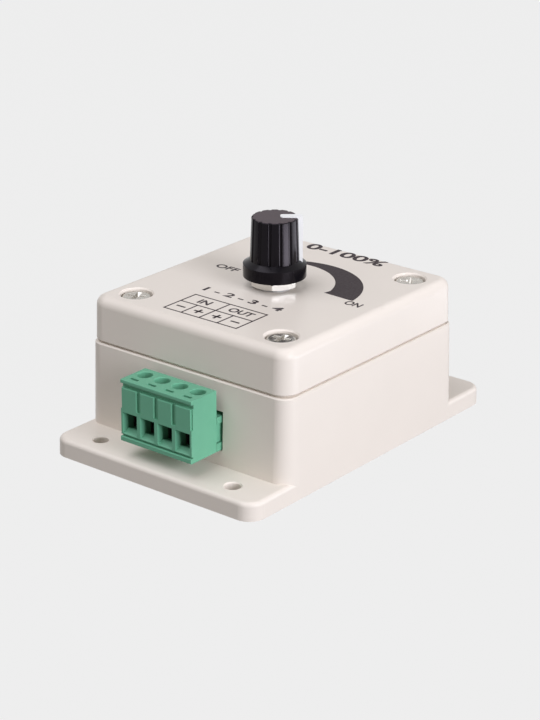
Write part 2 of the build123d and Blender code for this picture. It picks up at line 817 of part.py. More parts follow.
with BuildPart() as pot_wiper:
    finger_radius = (wiper_diameter + shaft_diameter) / 4 + bushing_fit
    with BuildSketch(Plane.XY.offset(rotor_top)):
        Circle(wiper_diameter / 2)
        Circle(shaft_diameter / 2 + 2 * bushing_fit, mode=Mode.SUBTRACT)
    extrude(amount=wiper_sheet)
    with BuildSketch(Plane.XY.offset(rotor_top)):
        with PolarLocations(finger_radius, 2, start_angle=pointer_angle):
            Rectangle(lug_blade, 2 * lug_blade)
    extrude(amount=wiper_height - thread_clearance)
pot_wiper.part.label = "pot_wiper"
export_step(pot_wiper.part, "parts/pot_wiper.step")

# Stiff leads from the lugs down to the board
with BuildPart() as pot_leads:
    with BuildSketch(Plane.XY.offset(board_top)):
        with Locations(*[(place, (wafer_tongue_reach + lug_outer) / 2) for place in lug_places]):
            Circle(lead_diameter / 2)
    extrude(amount=lug_tip - board_top)
pot_leads.part.label = "pot_leads"
export_step(pot_leads.part, "parts/pot_leads.step")

# Pointer: white insert, a bar along the top that turns down the grip's side to the skirt's slope
pointer_plane = Plane(
    origin=(0, 0, 0),
    x_dir=(cos(radians(pointer_angle)), sin(radians(pointer_angle)), 0),
    z_dir=(sin(radians(pointer_angle)), -cos(radians(pointer_angle)), 0),
)
slope_run = (skirt_diameter - grip_bottom) / 2
pointer_foot = grip_start - skirt_slope * (pointer_reach - grip_bottom / 2) / slope_run
with BuildPart() as knob_pointer:
    with BuildSketch(pointer_plane):
        pointer_heel = grip_top / 2 - pointer_inset
        with BuildLine():
            Polyline(
                (pointer_start, knob_top - pointer_depth),
                (pointer_start, knob_top + pointer_proud),
                (pointer_reach, knob_top + pointer_proud),
                (pointer_reach, pointer_foot),
                (grip_bottom / 2, grip_start),
                (pointer_heel, grip_start),
                (pointer_heel, knob_top - pointer_depth),
                close=True,
            )
        make_face()
    extrude(amount=pointer_width / 2, both=True)
    inner_end = knob_pointer.edges().filter_by(Axis.Z).sort_by_distance((0, 0, knob_top))[:2]
    fillet(inner_end, pointer_round)
knob_pointer.part.label = "knob_pointer"
export_step(knob_pointer.part, "parts/knob_pointer.step")


def fluted_outline(diameter):
    """Draw the grip's section: a round with shallow flutes, one of them under the pointer."""
    Circle(diameter / 2)
    with PolarLocations(diameter / 2 + flute_radius - flute_depth, flutes, start_angle=pointer_angle):
        Circle(flute_radius, mode=Mode.SUBTRACT)


# Knob: fluted tapering grip on a skirt, hollow below and bored for the shaft
with BuildPart() as knob:
    with BuildSketch(Plane.XZ):
        with BuildLine():
            Polyline(
                (0, knob_bottom),
                (skirt_diameter / 2, knob_bottom),
                (skirt_diameter / 2, skirt_top),
                (grip_bottom / 2, grip_start),
                (0, grip_start),
                close=True,
            )
        make_face()
    revolve(axis=Axis.Z)
    with BuildSketch(Plane.XY.offset(grip_start)):
        fluted_outline(grip_bottom)
    with BuildSketch(Plane.XY.offset(knob_top - grip_edge)):
        fluted_outline(grip_top)
    with BuildSketch(Plane.XY.offset(knob_top)):
        fluted_outline(grip_top - 2 * grip_edge)
    loft(ruled=True)
    add(knob_pointer.part, mode=Mode.SUBTRACT)
    with BuildSketch(Plane.XY.offset(knob_bottom)):
        Circle(knob_recess / 2)
    extrude(amount=knob_recess_depth, mode=Mode.SUBTRACT)
    with BuildSketch(Plane.XY.offset(knob_bottom)):
        Circle(shaft_diameter / 2 + bore_gap)
    extrude(amount=shaft_top - knob_bottom, mode=Mode.SUBTRACT)
knob.part.label = "knob"
export_step(knob.part, "parts/knob.step")

# Power switch standing on its leads: moulded body, and a metal tab with the leads
with BuildPart() as mosfet_tab:
    with BuildSketch(Plane.XZ.offset(-mosfet_y)):
        with Locations((mosfet_x, board_top + mosfet_stand + tab_height / 2)):
            Rectangle(mosfet_width, tab_height)
        with Locations((mosfet_x, board_top + mosfet_stand + (mosfet_body_height + tab_height) / 2)):
            Circle(tab_hole / 2, mode=Mode.SUBTRACT)
    extrude(amount=-tab_thickness)
    with BuildSketch(Plane.XZ.offset(-mosfet_y)):
        lead_length = board_top + mosfet_stand - lead_end
        with Locations(*[(mosfet_x + step * lead_pitch, lead_end + lead_length / 2) for step in (-1, 0, 1)]):
            Rectangle(lead_size, lead_length)
    extrude(amount=-lead_size)
mosfet_tab.part.label = "mosfet_tab"
export_step(mosfet_tab.part, "parts/mosfet_tab.step")

with BuildPart() as mosfet_body:
    with BuildSketch(Plane.XZ.offset(-mosfet_y)):
        with Locations((mosfet_x, board_top + mosfet_stand + mosfet_body_height / 2)):
            Rectangle(mosfet_width, mosfet_body_height)
    extrude(amount=mosfet_body_depth - tab_thickness)
mosfet_body.part.label = "mosfet_body"
export_step(mosfet_body.part, "parts/mosfet_body.step")

# Timer: moulded body between two rows of bent pins
timer_middle = board_top + timer_stand + timer_height / 2
timer_columns = [(column - (timer_per_side - 1) / 2) * lead_pitch for column in range(timer_per_side)]
with BuildPart() as timer_ic:
    with BuildSketch(Plane.XY.offset(board_top + timer_stand)):
        with Locations((timer_x, timer_y)):
            Rectangle(timer_length, timer_width)
    extrude(amount=timer_height)
timer_ic.part.label = "timer_ic"
export_step(timer_ic.part, "parts/timer_ic.step")

with BuildPart() as timer_pins:
    for side in (-1, 1):
        inner = timer_y + side * timer_width / 2
        outer = timer_y + side * (timer_row / 2 + timer_pin_sheet / 2)
        for column in timer_columns:
            with BuildSketch(Plane.YZ.offset(timer_x + column - timer_pin_width / 2)):
                with BuildLine():
                    Polyline(
                        (inner, timer_middle),
                        (inner, timer_middle + timer_pin_sheet),
                        (outer, timer_middle + timer_pin_sheet),
                        (outer, lead_end),
                        (outer - side * timer_pin_sheet, lead_end),
                        (outer - side * timer_pin_sheet, timer_middle),
                        close=True,
                    )
                make_face()
            extrude(amount=timer_pin_width)
timer_pins.part.label = "timer_pins"
export_step(timer_pins.part, "parts/timer_pins.step")

# Electrolytic capacitor standing on the board
with BuildPart() as electrolytic_cap:
    with BuildSketch(Plane.XY.offset(board_top)):
        with Locations((cap_x, cap_y)):
            Circle(cap_diameter / 2)
    extrude(amount=cap_height)
    chamfer(electrolytic_cap.edges().group_by(Axis.Z)[-1], cap_edge)
electrolytic_cap.part.label = "electrolytic_cap"
export_step(electrolytic_cap.part, "parts/electrolytic_cap.step")

# Resistors and diode lying along X on their leads, and disc capacitors on edge
resistor_z = board_top + axial_rise + resistor_diameter / 2
diode_z = board_top + axial_rise + diode_diameter / 2
with BuildPart() as resistors:
    with BuildSketch(Plane.YZ.offset(resistor_x - resistor_length / 2)):
        with Locations(*[(row, resistor_z) for row in resistor_rows]):
            Circle(resistor_diameter / 2)
    extrude(amount=resistor_length)
resistors.part.label = "resistors"
export_step(resistors.part, "parts/resistors.step")

with BuildPart() as diodes:
    with BuildSketch(Plane.YZ.offset(diode_x - diode_length / 2)):
        with Locations((diode_y, diode_z)):
            Circle(diode_diameter / 2)
    extrude(amount=diode_length)
diodes.part.label = "diodes"
export_step(diodes.part, "parts/diodes.step")

with BuildPart() as ceramic_caps:
    with BuildSketch(Plane.XZ.offset(-disc_y)):
        with Locations(*[(place, board_top + disc_rise + disc_diameter / 2) for place in disc_places]):
            Circle(disc_diameter / 2)
    extrude(amount=disc_thickness / 2, both=True)
ceramic_caps.part.label = "ceramic_caps"
export_step(ceramic_caps.part, "parts/ceramic_caps.step")

# Their leads: bent square-cut wire through the board
axial_parts = [(resistor_x, row, resistor_z, resistor_length) for row in resistor_rows]
axial_parts.append((diode_x, diode_y, diode_z, diode_length))
with BuildPart() as component_leads:
    for x, y, z, length in axial_parts:
        for side in (-1, 1):
            near = x + side * length / 2
            far = x + side * (resistor_span + lead_size) / 2
            with BuildSketch(Plane.XZ.offset(-y)):
                with BuildLine():
                    Polyline(
                        (near, z - lead_size / 2),
                        (near, z + lead_size / 2),
                        (far, z + lead_size / 2),
                        (far, lead_end),
                        (far - side * lead_size, lead_end),
                        (far - side * lead_size, z - lead_size / 2),
                        close=True,
                    )
                make_face()
            extrude(amount=lead_size / 2, both=True)
    disc_foot = board_top + disc_rise + disc_diameter / 2 - sqrt(disc_diameter ** 2 - lead_pitch ** 2) / 2
    with BuildSketch(Plane.XY.offset(lead_end)):
        with Locations(*[(place + side * lead_pitch / 2, disc_y) for place in disc_places for side in (-1, 1)]):
            Rectangle(lead_size, lead_size)
    extrude(amount=disc_foot - lead_end)
    add(ceramic_caps.part, mode=Mode.SUBTRACT)
component_leads.part.label = "component_leads"
export_step(component_leads.part, "parts/component_leads.step")

# Circuit board: notched round the bosses and drilled for every lead
hole_size = lead_size + 2 * lead_hole_gap
pin_hole_points = [(cell, pin_back - pin_size / 2) for cell in cells]
lead_hole_points = [(mosfet_x + step * lead_pitch, mosfet_y + lead_size / 2) for step in (-1, 0, 1)]
lead_hole_points += [(x + side * resistor_span / 2, y) for x, y, z, length in axial_parts for side in (-1, 1)]
lead_hole_points += [(place + side * lead_pitch / 2, disc_y) for place in disc_places for side in (-1, 1)]
timer_hole_points = [(timer_x + column, timer_y + side * timer_row / 2)
                     for column in timer_columns for side in (-1, 1)]
with BuildPart() as circuit_board:
    with BuildSketch(Plane.XY.offset(board_under)):
        Rectangle(2 * board_half_width, 2 * notch_y)
        Rectangle(2 * notch_x, 2 * board_half_length)
        with Locations(*standoff_points):
            Circle(board_screw_shank / 2 + lead_hole_gap, mode=Mode.SUBTRACT)
        with Locations(*pin_hole_points):
            Rectangle(pin_size + 2 * lead_hole_gap, pin_size + 2 * lead_hole_gap, mode=Mode.SUBTRACT)
        with Locations(*lead_hole_points):
            Rectangle(hole_size, hole_size, mode=Mode.SUBTRACT)
        with Locations(*timer_hole_points):
            Rectangle(timer_pin_width + 2 * lead_hole_gap, timer_pin_sheet + 2 * lead_hole_gap,
                      mode=Mode.SUBTRACT)
    extrude(amount=board_thickness)
circuit_board.part.label = "circuit_board"
export_step(circuit_board.part, "parts/circuit_board.step")

# Screws that hold the board to its standoffs
with BuildPart() as board_screws:
    with BuildSketch(Plane.XY.offset(board_top)):
        with Locations(*standoff_points):
            Circle(board_screw_head / 2)
    extrude(amount=board_screw_head_height)
    with BuildSketch(Plane.XY.offset(board_top - board_screw_length)):
        with Locations(*standoff_points):
            Circle(board_screw_shank / 2)
    extrude(amount=board_screw_length)
board_screws.part.label = "board_screws"
export_step(board_screws.part, "parts/board_screws.step")
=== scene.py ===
import json
import math

import bmesh
import bpy
from mathutils import Matrix, Vector


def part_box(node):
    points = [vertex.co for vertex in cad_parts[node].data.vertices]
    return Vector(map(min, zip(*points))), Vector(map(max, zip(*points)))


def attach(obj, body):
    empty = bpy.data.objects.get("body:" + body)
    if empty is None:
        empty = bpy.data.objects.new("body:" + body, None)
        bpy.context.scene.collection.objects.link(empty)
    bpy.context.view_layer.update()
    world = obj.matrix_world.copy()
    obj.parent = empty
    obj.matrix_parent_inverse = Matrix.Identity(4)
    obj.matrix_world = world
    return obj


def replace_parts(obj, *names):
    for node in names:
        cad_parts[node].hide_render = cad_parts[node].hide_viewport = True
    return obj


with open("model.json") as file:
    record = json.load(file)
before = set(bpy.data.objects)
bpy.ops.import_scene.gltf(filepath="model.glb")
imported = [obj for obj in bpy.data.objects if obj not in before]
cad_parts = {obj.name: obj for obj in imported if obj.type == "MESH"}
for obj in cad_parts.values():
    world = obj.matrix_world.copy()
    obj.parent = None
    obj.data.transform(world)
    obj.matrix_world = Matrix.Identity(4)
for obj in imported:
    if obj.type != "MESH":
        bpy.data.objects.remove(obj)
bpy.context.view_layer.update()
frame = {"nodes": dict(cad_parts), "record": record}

MM = 0.001
MERGE_DISTANCE = 0.0002 * MM
# the sockets of a Mix node that blends colours
MIX_SHARE, MIX_ONE, MIX_OTHER, MIX_RESULT = 0, 6, 7, 2
# nearly all of a noise texture's values lie between these two
NOISE_LOW, NOISE_HIGH = 0.3, 0.7
# how many finer layers a noise has
SMOOTH, CLOUDY, BROKEN = 2.0, 3.0, 4.0


# Small tools

def linear(hex_colour):
    """Turn an sRGB hex colour such as "e6ded4" into linear RGBA."""
    channels = [int(hex_colour[i:i + 2], 16) / 255 for i in (0, 2, 4)]
    return [c / 12.92 if c <= 0.04045 else ((c + 0.055) / 1.055) ** 2.4 for c in channels] + [1.0]


def per_mm(size_mm):
    """Texture scale, in repeats per metre, for a feature of that size in millimetres."""
    return 1 / (size_mm * MM)


def put(tree, kind, feeds=None, **settings):
    """Add one node: settings are its properties, feeds its socket values or what drives them."""
    made = tree.nodes.new(kind)
    for key, value in settings.items():
        setattr(made, key, value)
    for key, value in (feeds or {}).items():
        if isinstance(value, bpy.types.NodeSocket):
            tree.links.new(value, made.inputs[key])
        else:
            made.inputs[key].default_value = value
    return made


def start_material(name):
    """A new empty material, its tree, and the object coordinates that its patterns lie in."""
    material = bpy.data.materials.new(name)
    material.use_nodes = True
    tree = material.node_tree
    tree.nodes.clear()
    return material, tree, put(tree, "ShaderNodeTexCoord").outputs["Object"]


def clouded(tree, place, size_mm, detail, one, other):
    """Clouds of a size in millimetres, and the colour that they blend from two hex values."""
    clouds = put(tree, "ShaderNodeTexNoise", {"Vector": place, "Scale": per_mm(size_mm),
                                              "Detail": detail}).outputs["Fac"]
    tint = put(tree, "ShaderNodeMix", {MIX_SHARE: clouds, MIX_ONE: linear(one),
                                       MIX_OTHER: linear(other)}, data_type="RGBA")
    return clouds, tint.outputs[MIX_RESULT]


def close_material(tree, feeds):
    """The shader and the output that end a material."""
    shader = put(tree, "ShaderNodeBsdfPrincipled", feeds)
    put(tree, "ShaderNodeOutputMaterial", {"Surface": shader.outputs["BSDF"]})


def linked(name, data):
    """An object for a mesh, text, lamp or camera, in the scene at the origin."""
    made = bpy.data.objects.new(name, data)
    bpy.context.scene.collection.objects.link(made)
    return made


def new_piece(name, mesh, body, material):
    """Put a finished mesh in the scene as a piece that rides on a body, in the given material."""
    mesh.materials.clear()
    mesh.materials.append(material)
    piece = linked(name, mesh)
    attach(piece, body)
    return piece


def baked(holder):
    """The final mesh of an object with modifiers or of a text, with the object taken away."""
    bpy.context.view_layer.update()
    evaluated = holder.evaluated_get(bpy.context.evaluated_depsgraph_get())
    mesh = bpy.data.meshes.new_from_object(evaluated)
    bpy.data.objects.remove(holder)
    return mesh


def mesh_of(shape, name):
    """A bmesh as a plain mesh, its doubles merged and its faces outwards."""
    bmesh.ops.remove_doubles(shape, verts=shape.verts, dist=MERGE_DISTANCE)
    bmesh.ops.recalc_face_normals(shape, faces=shape.faces)
    mesh = bpy.data.meshes.new(name)
    shape.to_mesh(mesh)
    shape.free()
    return mesh


# Finishes. The skin that a mould leaves and the grain of a metal are finer than the picture can
# show, so both are drawn coarser here, as coarse as they need to show.

def moulded(name, colour, deeper, cloud_mm, skin_mm, rough, ior, specular=0.5, skin_depth_mm=0):
    """A plastic: faint clouds in the colour, and its skin in the gloss and, if deep, the bump."""
    material, tree, place = start_material(name)
    tint = clouded(tree, place, cloud_mm, CLOUDY, colour, deeper)[1]
    skin = put(tree, "ShaderNodeTexNoise", {"Vector": place, "Scale": per_mm(skin_mm),
                                            "Detail": SMOOTH}).outputs["Fac"]
    gloss = put(tree, "ShaderNodeMapRange", {"Value": skin, "From Min": NOISE_LOW,
                                             "From Max": NOISE_HIGH, "To Min": rough[0],
                                             "To Max": rough[1]})
    feeds = {"Base Color": tint, "Roughness": gloss.outputs["Result"], "IOR": ior,
             "Specular IOR Level": specular}
    if skin_depth_mm:
        bump = put(tree, "ShaderNodeBump", {"Height": skin, "Strength": 1.0,
                                            "Distance": skin_depth_mm * MM})
        feeds["Normal"] = bump.outputs["Normal"]
    close_material(tree, feeds)
    return material


def plated(name, colour, dulled, patch_mm, grain_mm, rough, grain_depth_mm=0, stretch=(1, 1, 1)):
    """A metal: dulled patches in the colour, and its grain in the gloss and, if deep, the bump."""
    material, tree, place = start_material(name)
    tint = clouded(tree, place, patch_mm, BROKEN, colour, dulled)[1]
    drawn = put(tree, "ShaderNodeMapping", {"Vector": place, "Scale": stretch})
    grain = put(tree, "ShaderNodeTexNoise", {"Vector": drawn.outputs["Vector"],
                                             "Scale": per_mm(grain_mm),
                                             "Detail": CLOUDY}).outputs["Fac"]
    gloss = put(tree, "ShaderNodeMapRange", {"Value": grain, "From Min": NOISE_LOW,
                                             "From Max": NOISE_HIGH, "To Min": rough[0],
                                             "To Max": rough[1]})
    feeds = {"Base Color": tint, "Roughness": gloss.outputs["Result"], "Metallic": 1.0}
    if grain_depth_mm:
        bump = put(tree, "ShaderNodeBump", {"Height": grain, "Strength": 1.0,
                                            "Distance": grain_depth_mm * MM})
        feeds["Normal"] = bump.outputs["Normal"]
    close_material(tree, feeds)
    return material


# how far below the knob's top its polished side ends, and its satin top, painted grey as a painted
# reflection, begins
SIDE_ENDS, CROWN_BEGINS = 0.16 * MM, 0.04 * MM
SIDE_ROUGHNESS, CROWN_ROUGHNESS = 0.16, 0.5
KNOB_DYE_MM = 3.0
KNOB_SPECULAR = 0.13


def gloss_knob(name):
    """The knob's black plastic: polished round the sides, and satin on the flat top, which is painted
    grey as a painted reflection.
    """
    material, tree, place = start_material(name)
    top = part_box("knob")[1].z
    height = put(tree, "ShaderNodeSeparateXYZ", {"Vector": place})
    satin_and_painted_sheen = put(tree, "ShaderNodeMapRange", {"Value": height.outputs["Z"],
                                             "From Min": top - SIDE_ENDS,
                                             "From Max": top - CROWN_BEGINS}).outputs["Result"]
    side = clouded(tree, place, KNOB_DYE_MM, CLOUDY, "0b0a0d", "100e12")[1]
    # the flat top is painted grey: a painted reflection on plastic that is black right through
    tint = put(tree, "ShaderNodeMix", {MIX_SHARE: satin_and_painted_sheen, MIX_ONE: side,
                                       MIX_OTHER: linear("4e4548")}, data_type="RGBA")
    gloss = put(tree, "ShaderNodeMapRange", {"Value": satin_and_painted_sheen, "To Min": SIDE_ROUGHNESS,
                                             "To Max": CROWN_ROUGHNESS})
    close_material(tree, {"Base Color": tint.outputs[MIX_RESULT],
                          "Roughness": gloss.outputs["Result"],
                          "Specular IOR Level": KNOB_SPECULAR, "Specular Tint": linear("fff2fc")})
    return material


TRACK_PITCH_MM, TRACK_WIDTH, TRACK_RISE = 5.08, 0.07, 0.03 * MM
# the board's glass cloth is woven finer than this, and is drawn coarser so that it shows
WEAVE_MM, WEAVE_WAVER, WEAVE_SHARE = 1.2, 1.5, 0.12
MASK_ROUGHNESS = 0.3


def solder_masked_board(name):
    """Glass-epoxy board under green solder mask: the copper tracks below show as paler strips."""
    material, tree, place = start_material(name)
    track = put(tree, "ShaderNodeTexBrick", {"Vector": place, "Scale": per_mm(TRACK_PITCH_MM),
                                             "Mortar Size": TRACK_WIDTH,
                                             "Color1": linear("1d5a34"),
                                             "Color2": linear("23653b"),
                                             "Mortar": linear("3c8a55")})
    weave = put(tree, "ShaderNodeTexWave", {"Vector": place, "Scale": per_mm(WEAVE_MM),
                                            "Distortion": WEAVE_WAVER})
    tint = put(tree, "ShaderNodeMix", {MIX_SHARE: WEAVE_SHARE, MIX_ONE: track.outputs["Color"],
                                       MIX_OTHER: weave.outputs["Color"]},
               data_type="RGBA", blend_type="MULTIPLY")
    bump = put(tree, "ShaderNodeBump", {"Height": track.outputs["Fac"], "Strength": 1.0,
                                        "Distance": TRACK_RISE})
    close_material(tree, {"Base Color": tint.outputs[MIX_RESULT], "Roughness": MASK_ROUGHNESS,
                          "Normal": bump.outputs["Normal"]})
    return material


STARVED_MM = 0.5
INK_ROUGHNESS, INK_SPECULAR = (0.45, 0.6), 0.15


def printed_ink(name):
    """Pad-printed ink: a thin matt film, a little starved in places, so its black is a warm grey."""
    material, tree, place = start_material(name)
    starved, tint = clouded(tree, place, STARVED_MM, BROKEN, "2d2427", "382e31")
    gloss = put(tree, "ShaderNodeMapRange", {"Value": starved, "From Min": NOISE_LOW,
                                             "From Max": NOISE_HIGH, "To Min": INK_ROUGHNESS[0],
                                             "To Max": INK_ROUGHNESS[1]})
    close_material(tree, {"Base Color": tint, "Roughness": gloss.outputs["Result"],
                          "Specular IOR Level": INK_SPECULAR})
    return material


FINISHES = {
    # ABS case, injection moulded in a polished tool: warm ivory with a half gloss, so the lid
    # shows a blurred mirror of the nut
    "ivory_case": moulded("ivory_abs_moulded", "e8dfd5", "e4dbd1", cloud_mm=14.0, skin_mm=1.6,
                          rough=(0.3, 0.36), ior=1.53, specular=0.14),
    # polyamide plug and header, injection moulded: even mint green, satin, with a slight grain
    # that softens their edges
    "green_housing": moulded("green_polyamide_moulded", "6cac8d", "65a687", cloud_mm=2.5,
                             skin_mm=0.3, rough=(0.34, 0.42), ior=1.53, specular=0.2,
                             skin_depth_mm=0.002),
    # ABS knob, moulded in a polished tool and dyed right through: near black and glossy round
    # its sides, with a satin top painted dark grey as a painted reflection
    "knob_black": gloss_knob("black_abs_gloss"),
    # white ABS pointer, moulded into the knob as a second shot: plain white with a soft shine
    "pointer_white": moulded("white_abs_second_shot", "f3f3f3", "efefef", cloud_mm=3.0,
                             skin_mm=0.5, rough=(0.3, 0.38), ior=1.5),
    # nickel-plated brass nut, turned and plated: mirror bright, with a trace of its grain
    "nickel_nut": plated("bright_nickel_nut", "dcdad5", "c2bfb9", patch_mm=1.5, grain_mm=0.15,
                         rough=(0.06, 0.13)),
    # nickel-plated steel screws, headed and punched: bright where they face a lamp, with duller
    # patches that break up the shine
    "nickel_screw": plated("nickel_plated_steel", "cfcbc4", "a9a49d", patch_mm=0.8,
                           grain_mm=0.12, rough=(0.2, 0.3)),
    # glass-epoxy board, etched and coated with solder mask: deep green, paler over the copper
    "board": solder_masked_board("green_solder_mask"),
    # tin-plated brass pins, tabs and contacts, stamped: pale grey with a soft shine
    "tinned_brass": plated("tinned_brass", "c9c6bd", "a8a59c", patch_mm=1.0, grain_mm=0.1,
                           rough=(0.25, 0.4), grain_depth_mm=0.002),
    # nickel-plated brass cages, stamped and folded: rough, and coloured dark as painted shade,
    # so the wire mouths look dark
    "cage_brass": plated("nickel_brass_painted_shade", "575249", "423e38", patch_mm=0.8, grain_mm=0.1,
                         rough=(0.35, 0.5), grain_depth_mm=0.003),
    # spring brass wiper, stamped and left bare: yellow with a soft shine
    "wiper_brass": plated("spring_brass", "c9a253", "a5813d", patch_mm=1.0, grain_mm=0.1,
                          rough=(0.22, 0.35), grain_depth_mm=0.002),
    # zinc of the potentiometer's front, die cast, and steel of its can, pressed: plain dull grey
    "zinc": plated("die_cast_zinc", "a8a8a8", "8e8e8f", patch_mm=1.5, grain_mm=0.15,
                   rough=(0.35, 0.5), grain_depth_mm=0.004),
    # aluminium shaft, drawn and turned: pale, with fine lines along its length
    "shaft_aluminium": plated("turned_aluminium", "c4c4c4", "b0b0b1", patch_mm=2.0,
                              grain_mm=0.08, rough=(0.25, 0.4), grain_depth_mm=0.003,
                              stretch=(1, 1, 0.1)),
    # phenolic sheet, punched: brown, faintly clouded and hardly shiny
    "phenolic": moulded("brown_phenolic", "6e4a2c", "5c3b22", cloud_mm=1.5, skin_mm=0.2,
                        rough=(0.4, 0.55), ior=1.6, skin_depth_mm=0.004),
    # vinyl sleeve of the leads, extruded: plain red with a soft shine
    "lead_sleeve": moulded("red_vinyl_sleeve", "a3211d", "8f1a18", cloud_mm=2.0, skin_mm=0.3,
                           rough=(0.35, 0.45), ior=1.53, skin_depth_mm=0.003),
    # epoxy of the chip packages, moulded in a blasted tool: dark grey and matt
    "epoxy_black": moulded("black_epoxy", "1b1b1c", "222223", cloud_mm=1.0, skin_mm=0.12,
                           rough=(0.5, 0.65), ior=1.55, skin_depth_mm=0.006),
    # vinyl sleeve of the electrolytic capacitor, shrunk on: navy and fairly glossy
    "cap_sleeve": moulded("navy_vinyl_sleeve", "18233f", "141d36", cloud_mm=2.0, skin_mm=0.3,
                          rough=(0.22, 0.32), ior=1.53, skin_depth_mm=0.002),
    # lacquer of the resistors, dipped: pale blue, slightly lumpy, with a soft shine
    "resistor_lacquer": moulded("blue_lacquer", "6f9fb4", "6492a7", cloud_mm=0.8, skin_mm=0.3,
                                rough=(0.3, 0.42), ior=1.5, skin_depth_mm=0.01),
    # resin coat of the disc capacitors, dipped: ochre, lumpy, with a soft shine
    "ceramic_coat": moulded("ochre_dipped_coat", "b9802f", "a67128", cloud_mm=0.8, skin_mm=0.4,
                            rough=(0.35, 0.5), ior=1.5, skin_depth_mm=0.02),
}
INK = printed_ink("pad_printed_ink")

slot_of = {entry["node"]: entry["material_slot"] for entry in frame["record"]["subparts"]}
# the washer under the nut is duller than the nut, and darker as painted shade for the shadow line
# under it
slot_of["pot_washer"] = "zinc"
for node_name, node_object in frame["nodes"].items():
    node_object.data.materials.clear()
    node_object.data.materials.append(FINISHES[slot_of[node_name]])


# Lid screws: one cross-head screw, turned and punched, set in the four wells by a node tree

SCREW_LOW, SCREW_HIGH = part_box("lid_screws")
HEAD_RADIUS = 3.45 * MM
HEAD_HEIGHT = 2.2 * MM
HEAD_EDGE = 0.7 * MM
HEAD_EDGE_STEP = 15
SHANK_RADIUS = 1.7 * MM
POINT_LENGTH = 2.0 * MM
CROSS_SPAN, CROSS_WIDTH, CROSS_DEPTH = 4.3 * MM, 1.05 * MM, 1.4 * MM
# how much of its span the cross keeps at the floor of its recess
CROSS_TAPER = 0.55
PUNCHED_EDGE, PUNCHED_STEPS, PUNCHED_ANGLE = 0.06 * MM, 2, math.radians(30)
SHARP_ANGLE = math.radians(40)
TURNED_SIDES = 72
FIRST_TURN, NEXT_TURN = math.radians(21), math.radians(37)


def turned(profile, name):
    """A solid turned about Z from a profile of (radius, height) points whose ends lie on the axis."""
    shape = bmesh.new()
    ring = [shape.verts.new((radius, 0, height)) for radius, height in profile]
    edges = [shape.edges.new(pair) for pair in zip(ring, ring[1:])]
    bmesh.ops.spin(shape, geom=ring + edges, cent=(0, 0, 0), axis=(0, 0, 1), angle=2 * math.pi,
                   steps=TURNED_SIDES, use_merge=True)
    return mesh_of(shape, name)


def cross_punch(top):
    """The driver's cross as a tapered punch, from above the head to the floor of the recess."""
    half, arm = CROSS_SPAN / 2, CROSS_WIDTH / 2
    corner = [(half, -arm), (half, arm), (arm, arm)]
    outline = [Matrix.Rotation(math.pi / 2 * quarter, 2) @ Vector(point)
               for quarter in range(4) for point in corner]
    levels = [(top + CROSS_DEPTH, 2 - CROSS_TAPER), (top - CROSS_DEPTH, CROSS_TAPER)]
    shape = bmesh.new()
    rings = [[shape.verts.new((p.x * share, p.y * share, height)) for p in outline]
             for height, share in levels]
    for i in range(len(outline)):
        j = (i + 1) % len(outline)
        shape.faces.new((rings[0][i], rings[0][j], rings[1][j], rings[1][i]))
    for ring in rings:
        shape.faces.new(ring)
    return mesh_of(shape, "cross_punch")


def lid_screw_mesh():
    """One screw on its axis: pointed shank, pan head with a domed edge, and the punched cross."""
    top = SCREW_HIGH.z
    seat = top - HEAD_HEIGHT
    profile = [(0, SCREW_LOW.z), (SHANK_RADIUS, SCREW_LOW.z + POINT_LENGTH), (SHANK_RADIUS, seat),
               (HEAD_RADIUS, seat)]
    for degrees in range(0, 91, HEAD_EDGE_STEP):
        angle = math.radians(degrees)
        profile.append((HEAD_RADIUS - HEAD_EDGE * (1 - math.cos(angle)),
                        top - HEAD_EDGE * (1 - math.sin(angle))))
    profile.append((0, top))
    screw = linked("lid_screw", turned(profile, "lid_screw"))
    punch = linked("cross_punch", cross_punch(top))
    cut = screw.modifiers.new("cross", "BOOLEAN")
    cut.object, cut.operation, cut.solver = punch, "DIFFERENCE", "EXACT"
    soft = screw.modifiers.new("punched_edge", "BEVEL")
    soft.width, soft.segments = PUNCHED_EDGE, PUNCHED_STEPS
    soft.limit_method, soft.angle_limit = "ANGLE", PUNCHED_ANGLE
    mesh = baked(screw)
    bpy.data.objects.remove(punch)
    mesh.shade_smooth()
    mesh.set_sharp_from_angle(angle=SHARP_ANGLE)
    return mesh


def well_tree(name, material):
    """A node tree that sets the screw at a rectangle's corners, each turned on from the last."""
    tree = bpy.data.node_groups.new(name, "GeometryNodeTree")
    sockets = {}
    for label, kind in (("Screw", "NodeSocketGeometry"), ("Across", "NodeSocketFloat"),
                        ("Along", "NodeSocketFloat"), ("First Turn", "NodeSocketFloat"),
                        ("Next Turn", "NodeSocketFloat")):
        made = tree.interface.new_socket(label, in_out="INPUT", socket_type=kind)
        sockets[label] = made.identifier
    tree.interface.new_socket("Screws", in_out="OUTPUT", socket_type="NodeSocketGeometry")
    given = put(tree, "NodeGroupInput").outputs
    corners = put(tree, "GeometryNodeMeshGrid", {"Size X": given["Across"],
                                                 "Size Y": given["Along"],
                                                 "Vertices X": 2, "Vertices Y": 2})
    index = put(tree, "GeometryNodeInputIndex")
    turn = put(tree, "ShaderNodeMath", {0: index.outputs[0], 1: given["Next Turn"],
                                        2: given["First Turn"]}, operation="MULTIPLY_ADD")
    stance = put(tree, "ShaderNodeCombineXYZ", {"Z": turn.outputs[0]})
    setting = put(tree, "GeometryNodeInstanceOnPoints", {"Points": corners.outputs["Mesh"],
                                                         "Instance": given["Screw"],
                                                         "Rotation": stance.outputs[0]})
    solid = put(tree, "GeometryNodeRealizeInstances", {"Geometry": setting.outputs["Instances"]})
    dressed = put(tree, "GeometryNodeSetMaterial", {"Geometry": solid.outputs["Geometry"],
                                                    "Material": material})
    put(tree, "NodeGroupOutput", {0: dressed.outputs["Geometry"]})
    return tree, sockets


